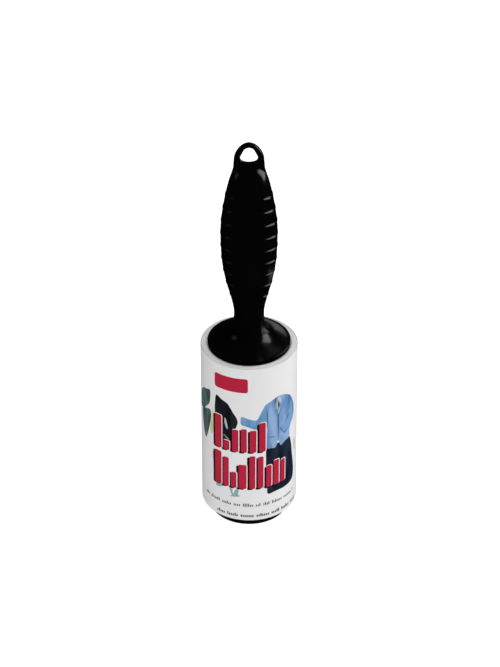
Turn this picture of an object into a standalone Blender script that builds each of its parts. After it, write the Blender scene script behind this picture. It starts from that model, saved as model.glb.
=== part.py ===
"""Lint roller: a two-shell handle, a hub that turns on a spindle, and a slide-on roll of adhesive sheets.

Units are metres, +Z is up. The origin is the centre of the end cap's foot, the roller stands upright
on it, and the handle's hanging loop is at the top with its hole facing -Y and +Y.
"""

import math

import bmesh
import bpy
from mathutils import Matrix

MM = 0.001
TAU = 2 * math.pi

# Clearances
SEAT_GAP = 0.3 * MM
RUNNING_GAP = 0.2 * MM
MERGE_DISTANCE = 0.00001

# Roll of adhesive sheets
ROLL_LENGTH = 101.6 * MM
ROLL_BOTTOM = 6.55 * MM
ROLL_TOP = ROLL_BOTTOM + ROLL_LENGTH
WRAPPER_RADIUS = 26.25 * MM
WRAPPER_THICKNESS = 0.25 * MM
WRAPPER_SEAM_ANGLE = math.radians(-18)
CORE_INNER_RADIUS = 21.9 * MM
CORE_WALL = 1.1 * MM
CORE_TOP = ROLL_TOP - SEAT_GAP
PAPER_SEGMENTS = 64

# Hub
SLEEVE_RADIUS = 20.6 * MM
SLEEVE_WALL = 1.6 * MM
HUB_FLANGE_RADIUS = 22.4 * MM
HUB_FLANGE_BOTTOM = CORE_TOP + SEAT_GAP
HUB_FLANGE_TOP = HUB_FLANGE_BOTTOM + 0.6 * MM
HUB_PLATE_THICKNESS = 2.0 * MM
BEARING_WALL = 1.8 * MM
BEARING_BOTTOM = 12.1 * MM
WEB_COUNT = 3
WEB_THICKNESS = 1.2 * MM
FRICTION_RIB_COUNT = 9
FRICTION_RIB_WIDTH = 1.6 * MM
FRICTION_RIB_RADIUS = CORE_INNER_RADIUS - SEAT_GAP
FINGER_COUNT = 3
FINGER_WIDTH = 8.0 * MM
FINGER_BOTTOM = 13.0 * MM
FINGER_TOP = 36.0 * MM
FINGER_SLOT = 1.0 * MM
FINGER_BUMP_RADIUS = 3.0 * MM
HUB_SEGMENTS = 48

# End cap
CAP_RADIUS = 21.5 * MM
CAP_TOP = 5.95 * MM
CAP_EDGE_RADIUS = 0.3 * MM
CAP_FLOOR = 2.6 * MM
CAP_PLUG_TOP = 10.0 * MM
CAP_PLUG_WALL = 1.4 * MM
CAP_RECESS_RADIUS = 14.0 * MM
CAP_RECESS_DEPTH = 0.8 * MM

# Spindle and its clip
SPINDLE_RADIUS = 4.4 * MM
SPINDLE_BOTTOM = 9.4 * MM
CLIP_THICKNESS = 0.6 * MM
CLIP_TOP = BEARING_BOTTOM - SEAT_GAP
CLIP_RADIUS = 8.0 * MM
CLIP_MOUTH = 6.6 * MM
GROOVE_RADIUS = 3.5 * MM
HEAD_CORNER_RADIUS = 6.0 * MM
HEAD_BOTTOM = 123.7 * MM
HEAD_HEIGHT = 4.4 * MM

# Handle: heights are above the top of the roll, half widths are along X
HANDLE_BOTTOM = HUB_FLANGE_TOP + SEAT_GAP - ROLL_TOP
RIM_RADIUS = 22.4 * MM
RIM_EDGE = 0.35 * MM
RIM_TOP = 2.3 * MM
RIM_LEDGE = 1.4 * MM
NECK_RADIUS = 8.05 * MM
NECK_HEIGHT = 19.5 * MM
FLARE_DECAY = 3.0 * MM
GRIP_OUTLINE = [
    (19.5 * MM, 8.05 * MM),
    (29.0 * MM, 9.5 * MM),
    (40.0 * MM, 12.3 * MM),
    (52.0 * MM, 14.32 * MM),
    (64.0 * MM, 15.0 * MM),
    (76.0 * MM, 14.83 * MM),
    (88.0 * MM, 13.3 * MM),
    (99.0 * MM, 11.1 * MM),
    (105.0 * MM, 9.45 * MM),
    (108.8 * MM, 8.38 * MM),
    (111.5 * MM, 8.12 * MM),
    (113.8 * MM, 7.95 * MM),
]
GRIP_DEPTH_RATIO = 0.9
GRIP_FULL_HEIGHT = 45.0 * MM
SHOULDER_HEIGHT = 100.0 * MM
SHOULDER_LENGTH = 10.8 * MM
SHOULDER_TAPER = 0.25
SHOULDER_POWER = 3
SHOULDER_BLEND = 1.2 * MM
RIB_COUNT = 9
RIB_PITCH = 7.6 * MM
FIRST_RIB_HEIGHT = 34.2 * MM
RIB_RISE = 0.5 * MM
RIB_WIDTH = 2.6 * MM
RIB_INNER_END = 5.4 * MM
RIB_FADE = 2.4 * MM
RIB_DROP = 2.2 * MM
RIB_START_TURN = math.radians(58)
RIB_ZONE_LOW = (24.0 * MM, 32.0 * MM)
RIB_ZONE_HIGH = (98.8 * MM, 102.5 * MM)
LOOP_HALF_THICKNESS = 1.7 * MM
LOOP_CENTRE_HEIGHT = 113.8 * MM
LOOP_HALF_WIDTH = 7.95 * MM
LOOP_ARCH_HEIGHT = 10.1 * MM
LOOP_ARCH_POWER = 1.85
LOOP_EDGE_POWER = 6
HOLE_BOTTOM = 112.35 * MM
HOLE_TOP = 121.1 * MM
HOLE_CORNER_OFFSET = 2.15 * MM
HOLE_CORNER_RADIUS = 2.4 * MM
HOLE_ARCH_RADIUS = 3.0 * MM
HOLE_BASE_RADIUS = 8.0 * MM
HANDLE_WALL = 2.2 * MM
FLANGE_WALL = 1.0 * MM
RECESS_INNER_RADIUS = 7.2 * MM
RECESS_LOW = 2.8 * MM
RECESS_HIGH = 7.0 * MM
CAVITY_BOTTOM = 27.0 * MM
CAVITY_TOP = 100.0 * MM
PIN_HEIGHTS = (34.0 * MM, 64.0 * MM, 92.0 * MM)
PIN_RADIUS = 1.5 * MM
PIN_REACH = 3.0 * MM
BOSS_RADIUS = 3.2 * MM
HALF_SECTION_STEPS = 12
FRONT = -1
REAR = 1


# Mesh helpers

def clear_scene():
    for obj in list(bpy.data.objects):
        bpy.data.objects.remove(obj, do_unlink=True)


def make_material(name, colour, roughness, metallic=0.0):
    material = bpy.data.materials.new(name)
    material.use_nodes = True
    shader = material.node_tree.nodes["Principled BSDF"]
    shader.inputs["Base Color"].default_value = (*colour, 1.0)
    shader.inputs["Roughness"].default_value = roughness
    shader.inputs["Metallic"].default_value = metallic
    return material


def make_empty(name, parent=None):
    empty = bpy.data.objects.new(name, None)
    bpy.context.collection.objects.link(empty)
    empty.parent = parent
    return empty


def make_object(name, bm, material=None, parent=None, sharp_angle=35):
    """Turn a bmesh into an object with outward faces and smooth shading."""
    bmesh.ops.recalc_face_normals(bm, faces=bm.faces)
    mesh = bpy.data.meshes.new(name)
    bm.to_mesh(mesh)
    bm.free()
    mesh.shade_smooth()
    mesh.set_sharp_from_angle(angle=math.radians(sharp_angle))
    obj = bpy.data.objects.new(name, mesh)
    bpy.context.collection.objects.link(obj)
    obj.parent = parent
    if material:
        mesh.materials.append(material)
    return obj


def make_cutter(name, bm):
    """A tool for a Boolean modifier, hidden from the finished model."""
    cutter = make_object(name, bm)
    cutter.hide_render = True
    cutter.display_type = "WIRE"
    return cutter


def apply_boolean(obj, operation, tool):
    """Cut or join with a tool, whose own pieces may overlap each other."""
    modifier = obj.modifiers.new(operation.lower() + "_" + tool.name, "BOOLEAN")
    modifier.operation = operation
    modifier.solver = "EXACT"
    modifier.object = tool
    modifier.use_self = True


def turned(profile, segments, closed=True):
    """Spin a profile of (radius, height) points round Z. A closed profile makes a ring."""
    bm = bmesh.new()
    verts = [bm.verts.new((radius, 0, height)) for radius, height in profile]
    ends = verts[1:] + verts[:1] if closed else verts[1:]
    edges = [bm.edges.new(pair) for pair in zip(verts, ends)]
    bmesh.ops.spin(bm, geom=verts + edges, cent=(0, 0, 0), axis=(0, 0, 1), angle=TAU,
                   steps=segments, use_merge=True)
    bmesh.ops.remove_doubles(bm, verts=bm.verts, dist=MERGE_DISTANCE)
    return bm


def tube(inner, outer, bottom, top, segments):
    return turned([(inner, bottom), (outer, bottom), (outer, top), (inner, top)], segments)


def lofted(sections):
    """Join closed sections of equal point counts into one capped solid."""
    bm = bmesh.new()
    rings = [[bm.verts.new(point) for point in section] for section in sections]
    for low, high in zip(rings, rings[1:]):
        for i in range(len(low)):
            j = (i + 1) % len(low)
            bm.faces.new((low[i], low[j], high[j], high[i]))
    bm.faces.new(rings[0])
    bm.faces.new(rings[-1])
    return bm


def add_box(bm, low, high, turn=0.0):
    """Add a box from one corner to the other, then turn it round Z."""
    size = [b - a for a, b in zip(low, high)]
    centre = [(a + b) / 2 for a, b in zip(low, high)]
    place = Matrix.Rotation(turn, 4, "Z") @ Matrix.Translation(centre) @ Matrix.Diagonal((*size, 1))
    bmesh.ops.create_cube(bm, size=1, matrix=place)


def add_rod(bm, radius, start_y, end_y, height, segments=16):
    """Add a round rod along Y on the handle's centre line."""
    place = (Matrix.Translation((0, (start_y + end_y) / 2, height))
             @ Matrix.Rotation(math.pi / 2, 4, "X"))
    bmesh.ops.create_cone(bm, cap_ends=True, segments=segments, radius1=radius, radius2=radius,
                          depth=abs(end_y - start_y), matrix=place)


def arc(centre, radius, start, end, steps):
    """Points of an arc in a plane, from one angle in degrees to another."""
    angles = [math.radians(start + (end - start) * i / steps) for i in range(steps + 1)]
    return [(centre[0] + radius * math.cos(a), centre[1] + radius * math.sin(a)) for a in angles]


def smooth_step(value):
    value = min(max(value, 0.0), 1.0)
    return value * value * (3 - 2 * value)


def spline(points, at):
    """Smooth curve through (position, value) points, flat at its first point."""
    count = len(points)
    slopes = [0.0] * count
    for i in range(1, count):
        before = points[i - 1]
        after = points[min(i + 1, count - 1)]
        slopes[i] = (after[1] - before[1]) / (after[0] - before[0])
    for i in range(count - 1):
        (x0, y0), (x1, y1) = points[i], points[i + 1]
        if at <= x1 or i == count - 2:
            span = x1 - x0
            t = (at - x0) / span
            rise = (2 * t**3 - 3 * t**2 + 1) * y0 + (3 * t**2 - 2 * t**3) * y1
            bend = (t**3 - 2 * t**2 + t) * slopes[i] + (t**3 - t**2) * slopes[i + 1]
            return rise + bend * span
    return points[-1][1]


# Roll of adhesive sheets

def build_core_tube(material, parent):
    bm = tube(CORE_INNER_RADIUS, CORE_INNER_RADIUS + CORE_WALL, ROLL_BOTTOM, CORE_TOP, PAPER_SEGMENTS)
    return make_object("core_tube", bm, material, parent)


def build_adhesive_roll(material, parent):
    inner = CORE_INNER_RADIUS + CORE_WALL + SEAT_GAP
    outer = WRAPPER_RADIUS - WRAPPER_THICKNESS - SEAT_GAP
    bm = tube(inner, outer, ROLL_BOTTOM, ROLL_TOP, PAPER_SEGMENTS)
    return make_object("adhesive_roll", bm, material, parent)


def build_wrapper(material, parent):
    """A paper sleeve whose two ends meet at a seam."""
    inner = WRAPPER_RADIUS - WRAPPER_THICKNESS
    opening = SEAT_GAP / WRAPPER_RADIUS
    sections = []
    for i in range(PAPER_SEGMENTS + 1):
        angle = WRAPPER_SEAM_ANGLE + opening / 2 + (TAU - opening) * i / PAPER_SEGMENTS
        corners = [(inner, ROLL_BOTTOM), (WRAPPER_RADIUS, ROLL_BOTTOM),
                   (WRAPPER_RADIUS, ROLL_TOP), (inner, ROLL_TOP)]
        sections.append([(r * math.cos(angle), r * math.sin(angle), z) for r, z in corners])
    return make_object("wrapper", lofted(sections), material, parent)


# Hub

def hub_webs():
    """Radial webs that tie the bearing tube to the sleeve."""
    bm = bmesh.new()
    inner = SPINDLE_RADIUS + RUNNING_GAP + BEARING_WALL / 2
    outer = SLEEVE_RADIUS - SLEEVE_WALL / 2
    for i in range(WEB_COUNT):
        add_box(bm, (inner, -WEB_THICKNESS / 2, BEARING_BOTTOM + WEB_THICKNESS),
                (outer, WEB_THICKNESS / 2, HUB_FLANGE_TOP - HUB_PLATE_THICKNESS / 2),
                turn=TAU * (i + 0.5) / WEB_COUNT)
    return make_cutter("hub_webs", bm)


def friction_ribs():
    """Low ribs along the sleeve that grip the core."""
    bm = bmesh.new()
    for i in range(FRICTION_RIB_COUNT):
        if i % FINGER_COUNT == 0:
            bottom = FINGER_TOP + FINGER_SLOT
        else:
            bottom = FINGER_BOTTOM
        add_box(bm, (SLEEVE_RADIUS - SLEEVE_WALL / 2, -FRICTION_RIB_WIDTH / 2, bottom),
                (FRICTION_RIB_RADIUS, FRICTION_RIB_WIDTH / 2, ROLL_TOP - FINGER_BOTTOM),
                turn=TAU * i / FRICTION_RIB_COUNT)
    return make_cutter("friction_ribs", bm)


def finger_slots():
    """U-shaped slots that free three spring fingers in the sleeve's lower end."""
    bm = bmesh.new()
    inner = SLEEVE_RADIUS - 2 * SLEEVE_WALL
    outer = SLEEVE_RADIUS + SLEEVE_WALL
    for i in range(FINGER_COUNT):
        turn = TAU * i / FINGER_COUNT
        for side in (-1, 1):
            middle = side * FINGER_WIDTH / 2
            add_box(bm, (inner, middle - FINGER_SLOT / 2, FINGER_BOTTOM),
                    (outer, middle + FINGER_SLOT / 2, FINGER_TOP), turn)
        add_box(bm, (inner, -(FINGER_WIDTH + FINGER_SLOT) / 2, FINGER_BOTTOM - FINGER_SLOT),
                (outer, (FINGER_WIDTH + FINGER_SLOT) / 2, FINGER_BOTTOM + FINGER_SLOT / 4), turn)
    return make_cutter("finger_slots", bm)


def finger_bumps():
    """A round bump near each finger's free end."""
    bm = bmesh.new()
    height = FINGER_BOTTOM + 2 * FINGER_BUMP_RADIUS
    for i in range(FINGER_COUNT):
        place = (Matrix.Rotation(TAU * i / FINGER_COUNT, 4, "Z")
                 @ Matrix.Translation((FRICTION_RIB_RADIUS - FINGER_BUMP_RADIUS / 2, 0, height))
                 @ Matrix.Diagonal((0.5, 1, 1, 1)))
        bmesh.ops.create_icosphere(bm, subdivisions=2, radius=FINGER_BUMP_RADIUS, matrix=place)
    return make_cutter("finger_bumps", bm)


def build_hub_sleeve(material, parent):
    """Sleeve, top flange and bearing tube in one moulding."""
    bore = SPINDLE_RADIUS + RUNNING_GAP
    bearing = bore + BEARING_WALL
    inner = SLEEVE_RADIUS - SLEEVE_WALL
    plate = HUB_FLANGE_TOP - HUB_PLATE_THICKNESS
    profile = [
        (bore, BEARING_BOTTOM),
        (bearing, BEARING_BOTTOM),
        (bearing, plate),
        (inner, plate),
        (inner, CAP_TOP + SEAT_GAP),
        (SLEEVE_RADIUS, CAP_TOP + SEAT_GAP),
        (SLEEVE_RADIUS, HUB_FLANGE_BOTTOM),
        (HUB_FLANGE_RADIUS, HUB_FLANGE_BOTTOM),
        (HUB_FLANGE_RADIUS, HUB_FLANGE_TOP),
        (bore, HUB_FLANGE_TOP),
    ]
    sleeve = make_object("hub_sleeve", turned(profile, HUB_SEGMENTS), material, parent)
    apply_boolean(sleeve, "UNION", hub_webs())
    apply_boolean(sleeve, "DIFFERENCE", finger_slots())
    apply_boolean(sleeve, "UNION", friction_ribs())
    apply_boolean(sleeve, "UNION", finger_bumps())
    return sleeve


def build_hub_end_cap(material, parent):
    """Foot of the roller: a rounded cap with a plug that goes up inside the sleeve."""
    plug = SLEEVE_RADIUS - SLEEVE_WALL - SEAT_GAP
    foot_edge = arc((CAP_RADIUS - CAP_EDGE_RADIUS, CAP_EDGE_RADIUS), CAP_EDGE_RADIUS, -90, 0, 5)
    profile = [(0, CAP_RECESS_DEPTH), (CAP_RECESS_RADIUS, CAP_RECESS_DEPTH),
               (CAP_RECESS_RADIUS + CAP_RECESS_DEPTH, 0)]
    profile += foot_edge
    profile += [
        (CAP_RADIUS, CAP_TOP),
        (plug, CAP_TOP),
        (plug, CAP_PLUG_TOP),
        (plug - CAP_PLUG_WALL, CAP_PLUG_TOP),
        (plug - CAP_PLUG_WALL, CAP_FLOOR),
        (0, CAP_FLOOR),
    ]
    bm = turned(profile, HUB_SEGMENTS, closed=False)
    return make_object("hub_end_cap", bm, material, parent)


# Spindle and clip

def build_spindle(material, parent):
    """Round shaft with a clip groove at the bottom and a six-sided head held in the handle's neck."""
    groove_bottom = CLIP_TOP - CLIP_THICKNESS - SEAT_GAP
    groove_top = CLIP_TOP + SEAT_GAP
    chamfer = 0.6 * MM
    profile = [
        (0, SPINDLE_BOTTOM),
        (SPINDLE_RADIUS - chamfer, SPINDLE_BOTTOM),
        (SPINDLE_RADIUS, SPINDLE_BOTTOM + chamfer),
        (SPINDLE_RADIUS, groove_bottom),
        (GROOVE_RADIUS, groove_bottom),
        (GROOVE_RADIUS, groove_top),
        (SPINDLE_RADIUS, groove_top),
        (SPINDLE_RADIUS, HEAD_BOTTOM + HEAD_HEIGHT / 2),
        (0, HEAD_BOTTOM + HEAD_HEIGHT / 2),
    ]
    spindle = make_object("spindle", turned(profile, HUB_SEGMENTS, closed=False), material, parent)
    head = make_cutter("spindle_head", hex_prism(HEAD_CORNER_RADIUS, HEAD_BOTTOM, HEAD_HEIGHT))
    apply_boolean(spindle, "UNION", head)
    return spindle


def hex_prism(corner_radius, bottom, height):
    bm = bmesh.new()
    place = Matrix.Translation((0, 0, bottom + height / 2))
    bmesh.ops.create_cone(bm, cap_ends=True, segments=6, radius1=corner_radius,
                          radius2=corner_radius, depth=height, matrix=place)
    return bm


def build_spindle_clip(material, parent):
    """Spring clip that keeps the hub on the spindle."""
    bottom = CLIP_TOP - CLIP_THICKNESS
    bm = tube(GROOVE_RADIUS + SEAT_GAP, CLIP_RADIUS, bottom, CLIP_TOP, HUB_SEGMENTS)
    clip = make_object("spindle_clip", bm, material, parent)
    mouth = bmesh.new()
    add_box(mouth, (0, -CLIP_MOUTH / 2, bottom - MM), (2 * CLIP_RADIUS, CLIP_MOUTH / 2, CLIP_TOP + MM))
    apply_boolean(clip, "DIFFERENCE", make_cutter("clip_mouth", mouth))
    return clip


# Handle

def half_width(height):
    """Half width of the handle along X, without ribs, at a height above the roll."""
    if height <= RIM_TOP:
        rounding = max(height - (RIM_TOP - RIM_EDGE), 0.0)
        return RIM_RADIUS - RIM_EDGE + math.sqrt(max(RIM_EDGE**2 - rounding**2, 0.0))
    if height <= NECK_HEIGHT:
        reach = RIM_RADIUS - RIM_EDGE - RIM_LEDGE - NECK_RADIUS
        return NECK_RADIUS + reach * math.exp((RIM_TOP - height) / FLARE_DECAY)
    if height <= LOOP_CENTRE_HEIGHT:
        return spline(GRIP_OUTLINE, height)
    level = (height - LOOP_CENTRE_HEIGHT) / LOOP_ARCH_HEIGHT
    return LOOP_HALF_WIDTH * max(1 - level**LOOP_ARCH_POWER, 0.0) ** (1 / LOOP_ARCH_POWER)


def grip_depth(height):
    """Half depth of the neck and grip along Y: round at the neck, flatter at the grip."""
    share = smooth_step((height - NECK_HEIGHT) / (GRIP_FULL_HEIGHT - NECK_HEIGHT))
    return half_width(height) * (1 + (GRIP_DEPTH_RATIO - 1) * share)


def loop_depth(height):
    """Half thickness of the flat hanging loop, rounded over its crown."""
    crown = LOOP_CENTRE_HEIGHT + LOOP_ARCH_HEIGHT - LOOP_HALF_THICKNESS
    level = max(height - crown, 0.0) / LOOP_HALF_THICKNESS
    return LOOP_HALF_THICKNESS * math.sqrt(max(1 - level**2, 0.0))


def rounded_max(first, second, reach):
    """The larger of two depths, with a fillet where they cross."""
    if reach <= 0:
        return max(first, second)
    overlap = max(reach - abs(first - second), 0.0)
    return max(first, second) + overlap**2 / (4 * reach)


def dome_depth(x, height):
    """Half depth of the dome that ends the grip, narrowing under the hanging loop."""
    rise = height - SHOULDER_HEIGHT
    level = min(rise / SHOULDER_LENGTH, 1.0)
    closing = (1 - level**SHOULDER_POWER) ** (1 / SHOULDER_POWER)
    start = half_width(SHOULDER_HEIGHT)
    width = (start - SHOULDER_TAPER * rise) * closing
    if abs(x) >= width:
        return 0.0
    return grip_depth(SHOULDER_HEIGHT) / start * math.sqrt(width**2 - x**2)


def half_depth(across, height):
    """Half depth of the handle at a place across its width, from 0 in the middle to 1 at the edge.

    The grip ends in a dome, and the flat loop grows out of the dome.
    """
    if height <= SHOULDER_HEIGHT:
        return grip_depth(height) * math.sqrt(1 - across**2)
    dome = dome_depth(across * half_width(height), height)
    flat = loop_depth(height) * (1 - across**LOOP_EDGE_POWER) ** (1 / LOOP_EDGE_POWER)
    return rounded_max(dome, flat, min(SHOULDER_BLEND, flat))


def rib_drop(across, height):
    """How far the ribs and the sections between them come down on their way round the sides."""
    zone = (smooth_step((height - RIB_ZONE_LOW[0]) / (RIB_ZONE_LOW[1] - RIB_ZONE_LOW[0]))
            * smooth_step((RIB_ZONE_HIGH[1] - height) / (RIB_ZONE_HIGH[1] - RIB_ZONE_HIGH[0])))
    course = max(1 - math.acos(min(abs(across), 1.0)) / RIB_START_TURN, 0.0)
    return RIB_DROP * zone * course


def rib_rise(x, height):
    """How far a grip rib stands out: ribs lie on the two sides and fade out towards the middle."""
    rib = round((height - FIRST_RIB_HEIGHT) / RIB_PITCH)
    if rib < 0 or rib >= RIB_COUNT:
        return 0.0
    offset = abs(height - FIRST_RIB_HEIGHT - rib * RIB_PITCH)
    crest = math.cos(math.pi * min(offset / RIB_WIDTH, 0.5)) ** 2
    return RIB_RISE * crest * smooth_step((abs(x) - RIB_INNER_END) / RIB_FADE)


def half_section(height, side):
    """One half of the handle's section, from +X round to -X, flat along the parting plane.

    Sections between the neck and the shoulder come down at their sides with the ribs.
    """
    points = []
    for i in range(HALF_SECTION_STEPS + 1):
        across = math.cos(math.pi * i / HALF_SECTION_STEPS)
        level = height - rib_drop(across, height)
        width = half_width(level)
        y = SEAT_GAP / 2 + half_depth(min(abs(across), 1.0), level)
        swell = 1 + rib_rise(width * across, height) / width
        points.append((width * across * swell, side * y * swell, ROLL_TOP + level))
    return points


def outline_heights():
    """Heights of the handle's sections, closer together where it curves."""
    rim = [HANDLE_BOTTOM, RIM_TOP - RIM_EDGE, RIM_TOP]
    flare = [RIM_TOP + FLARE_DECAY * step for step in (0.02, 0.15, 0.4, 0.7, 1.1, 1.6, 2.3, 3.2, 4.4)]
    neck = [NECK_HEIGHT, 24 * MM, 28 * MM]
    rib = (-RIB_WIDTH / 2, 0.0, RIB_WIDTH / 2, RIB_PITCH / 2)
    grip = [FIRST_RIB_HEIGHT + RIB_PITCH * i + step for i in range(RIB_COUNT) for step in rib]
    shoulder = [SHOULDER_HEIGHT + SHOULDER_LENGTH * math.sin(math.radians(12.5 * i)) for i in range(1, 8)]
    arch_span = LOOP_ARCH_HEIGHT - 0.02 * MM
    arch = [LOOP_CENTRE_HEIGHT + arch_span * math.sin(math.radians(11.25 * i)) for i in range(9)]
    return rim + flare + neck + grip + shoulder + arch


def cavity_cutter():
    """Hollow inside the grip, one wall's thickness in from the outline."""
    sections = []
    steps = 7
    for i in range(steps):
        height = CAVITY_BOTTOM + (CAVITY_TOP - CAVITY_BOTTOM) * i / (steps - 1)
        width = half_width(height) - HANDLE_WALL
        depth = grip_depth(height) - HANDLE_WALL
        ring = [TAU * k / 16 for k in range(16)]
        sections.append([(width * math.cos(a), depth * math.sin(a), ROLL_TOP + height) for a in ring])
    return make_cutter("grip_cavity", lofted(sections))


def flange_recess_cutter():
    """Ring-shaped hollow under the flare, so that its wall stays thin."""
    base = ROLL_TOP + HANDLE_BOTTOM - MM
    steps = 4
    profile = [(RECESS_INNER_RADIUS, base), (half_width(RECESS_LOW) - HANDLE_WALL, base)]
    for i in range(steps + 1):
        height = RECESS_LOW + (RECESS_HIGH - RECESS_LOW) * i / steps
        profile.append((half_width(height) - HANDLE_WALL, ROLL_TOP + height - FLANGE_WALL))
    profile.append((RECESS_INNER_RADIUS, ROLL_TOP + RECESS_HIGH - FLANGE_WALL))
    return make_cutter("flange_recess", turned(profile, HUB_SEGMENTS))


def spindle_seat_cutter():
    """Bore for the spindle and six-sided pocket for its head."""
    bm = hex_prism(HEAD_CORNER_RADIUS + SEAT_GAP, HEAD_BOTTOM - SEAT_GAP, HEAD_HEIGHT + 2 * SEAT_GAP)
    seat = make_cutter("spindle_seat", bm)
    bore = SPINDLE_RADIUS + SEAT_GAP
    bottom = ROLL_TOP - MM
    top = HEAD_BOTTOM + HEAD_HEIGHT / 2
    rod = make_cutter("spindle_bore", turned([(0, bottom), (bore, bottom), (bore, top), (0, top)],
                                             32, closed=False))
    apply_boolean(seat, "UNION", rod)
    return seat


def hole_outline():
    """Rounded-triangle hole of the hanging loop, as tangent arcs."""
    base_rise = math.sqrt((HOLE_BASE_RADIUS - HOLE_CORNER_RADIUS) ** 2 - HOLE_CORNER_OFFSET**2)
    low = ROLL_TOP + HOLE_BOTTOM + HOLE_BASE_RADIUS - base_rise
    high = ROLL_TOP + HOLE_TOP - HOLE_ARCH_RADIUS
    apart = math.hypot(HOLE_CORNER_OFFSET, high - low)
    lean = math.degrees(math.atan2(HOLE_CORNER_OFFSET, high - low)
                        + math.asin((HOLE_CORNER_RADIUS - HOLE_ARCH_RADIUS) / apart))
    turn = math.degrees(math.atan2(base_rise, HOLE_CORNER_OFFSET))
    outline = arc((HOLE_CORNER_OFFSET, low), HOLE_CORNER_RADIUS, -turn, lean, 6)
    outline += arc((0, high), HOLE_ARCH_RADIUS, lean, 180 - lean, 8)
    outline += arc((-HOLE_CORNER_OFFSET, low), HOLE_CORNER_RADIUS, 180 - lean, 180 + turn, 6)
    outline += arc((0, low + base_rise), HOLE_BASE_RADIUS, 180 + turn, 360 - turn, 4)[1:-1]
    return outline


def hole_cutter():
    reach = 4 * LOOP_HALF_THICKNESS
    outline = hole_outline()
    sections = [[(x, y, z) for x, z in outline] for y in (-reach, reach)]
    return make_cutter("loop_hole", lofted(sections))


def bosses(side):
    """Posts inside one shell that meet the other shell's posts."""
    bm = bmesh.new()
    for height in PIN_HEIGHTS:
        wall_middle = grip_depth(height) - HANDLE_WALL / 2
        add_rod(bm, BOSS_RADIUS, side * SEAT_GAP / 2, side * wall_middle, ROLL_TOP + height)
    return make_cutter("front_bosses" if side == FRONT else "rear_bosses", bm)


def locating_pins():
    """Pins on the front shell's posts. They start inside the posts so that they join them."""
    bm = bmesh.new()
    for height in PIN_HEIGHTS:
        add_rod(bm, PIN_RADIUS, -PIN_REACH, PIN_REACH, ROLL_TOP + height)
    return make_cutter("locating_pins", bm)


def pin_sockets():
    """Sockets in the rear shell's posts."""
    bm = bmesh.new()
    for height in PIN_HEIGHTS:
        add_rod(bm, PIN_RADIUS + SEAT_GAP, -MM, PIN_REACH + SEAT_GAP, ROLL_TOP + height)
    return make_cutter("pin_sockets", bm)


def build_handle_shell(name, side, material, parent, shared_cutters):
    """Front or rear half of the flange, neck, grip and hanging loop."""
    sections = [half_section(height, side) for height in outline_heights()]
    shell = make_object(name, lofted(sections), material, parent)
    for cutter in shared_cutters:
        apply_boolean(shell, "DIFFERENCE", cutter)
    apply_boolean(shell, "UNION", bosses(side))
    if side == FRONT:
        apply_boolean(shell, "UNION", locating_pins())
    else:
        apply_boolean(shell, "DIFFERENCE", pin_sockets())
    return shell


def build_handle(shell_material, spindle_material, clip_material, parent):
    shared = [cavity_cutter(), flange_recess_cutter(), spindle_seat_cutter(), hole_cutter()]
    build_handle_shell("handle_front_shell", FRONT, shell_material, parent, shared)
    build_handle_shell("handle_rear_shell", REAR, shell_material, parent, shared)
    build_spindle(spindle_material, parent)
    build_spindle_clip(clip_material, parent)


def build_hub(material, parent):
    build_hub_sleeve(material, parent)
    build_hub_end_cap(material, parent)


def main():
    clear_scene()
    handle_plastic = make_material("handle_plastic", (0.006, 0.006, 0.007), 0.22)
    hub_plastic = make_material("hub_plastic", (0.012, 0.012, 0.013), 0.4)
    spindle_plastic = make_material("spindle_plastic", (0.75, 0.74, 0.7), 0.45)
    clip_steel = make_material("clip_steel", (0.55, 0.56, 0.58), 0.3, metallic=1.0)
    cardboard = make_material("cardboard", (0.58, 0.57, 0.54), 0.85)
    adhesive_paper = make_material("adhesive_paper", (0.82, 0.82, 0.8), 0.6)
    wrapper_paper = make_material("wrapper_paper", (0.88, 0.88, 0.9), 0.4)

    handle_frame = make_empty("handle_frame")
    hub_axis = make_empty("hub_axis", handle_frame)
    roll_slide = make_empty("roll_slide", hub_axis)

    build_handle(handle_plastic, spindle_plastic, clip_steel, handle_frame)
    build_hub(hub_plastic, hub_axis)
    build_core_tube(cardboard, roll_slide)
    build_adhesive_roll(adhesive_paper, roll_slide)
    build_wrapper(wrapper_paper, roll_slide)


main()
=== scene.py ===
"""Lint roller: detailed pieces, materials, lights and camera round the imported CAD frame.

Units are metres and +Z is up. The roller stands on its end cap at the origin and its printed front
faces -Y. Places on the printed sleeve are given in millimetres: across is measured along the paper
from the front centre line, positive to the right, and up is measured from the sleeve's lower edge.
"""

import math
import random

import bmesh
import bpy
import numpy as np
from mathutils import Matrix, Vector


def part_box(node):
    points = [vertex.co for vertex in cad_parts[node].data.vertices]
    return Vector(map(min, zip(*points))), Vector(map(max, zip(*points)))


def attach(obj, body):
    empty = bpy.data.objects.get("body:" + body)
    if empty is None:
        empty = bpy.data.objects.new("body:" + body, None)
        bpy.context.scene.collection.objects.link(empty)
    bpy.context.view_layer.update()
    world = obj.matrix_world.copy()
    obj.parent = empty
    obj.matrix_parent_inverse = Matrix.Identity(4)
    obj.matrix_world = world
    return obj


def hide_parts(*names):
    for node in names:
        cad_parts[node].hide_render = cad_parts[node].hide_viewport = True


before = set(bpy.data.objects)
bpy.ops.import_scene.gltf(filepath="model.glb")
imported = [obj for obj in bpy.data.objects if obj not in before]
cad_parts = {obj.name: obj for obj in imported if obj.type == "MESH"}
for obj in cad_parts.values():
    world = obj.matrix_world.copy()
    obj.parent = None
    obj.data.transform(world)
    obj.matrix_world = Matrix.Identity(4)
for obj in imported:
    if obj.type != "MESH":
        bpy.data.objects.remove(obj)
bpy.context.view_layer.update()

MM = 0.001
TAU = 2 * math.pi

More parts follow.
